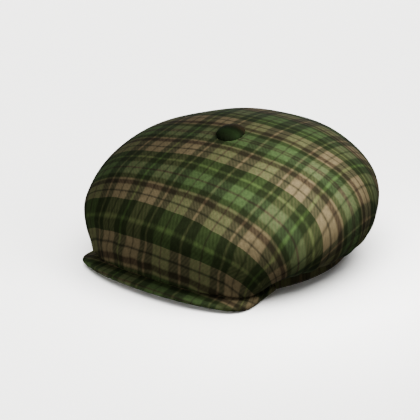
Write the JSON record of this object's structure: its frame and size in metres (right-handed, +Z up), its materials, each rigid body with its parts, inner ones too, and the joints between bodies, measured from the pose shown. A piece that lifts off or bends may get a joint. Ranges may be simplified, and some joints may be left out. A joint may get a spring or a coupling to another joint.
{
  "type": "flat cap",
  "caption": "Soft hollow tartan flat cap with a full rounded crown, a low band round the head opening, a short stiff peak and a covered top button.",
  "frame": {"origin": "middle of the cap's length and width, on the surface that it rests on", "axes": "+X to the wearer's left, +Y to the back, +Z up; the peak faces -Y"},
  "size_m": [0.24, 0.246, 0.1123],
  "materials": {
    "tartan_wool": "woven tartan wool in greens, tans and browns",
    "band_wool": "woven tartan wool strip",
    "peak_wool": "woven tartan wool over a stiff core",
    "button_cloth": "dark green-black wool cloth"
  },
  "bodies": {
    "root": {"crown": "tartan_wool", "band": "band_wool", "peak": "peak_wool", "button": "button_cloth"}
  },
  "joints": []
}
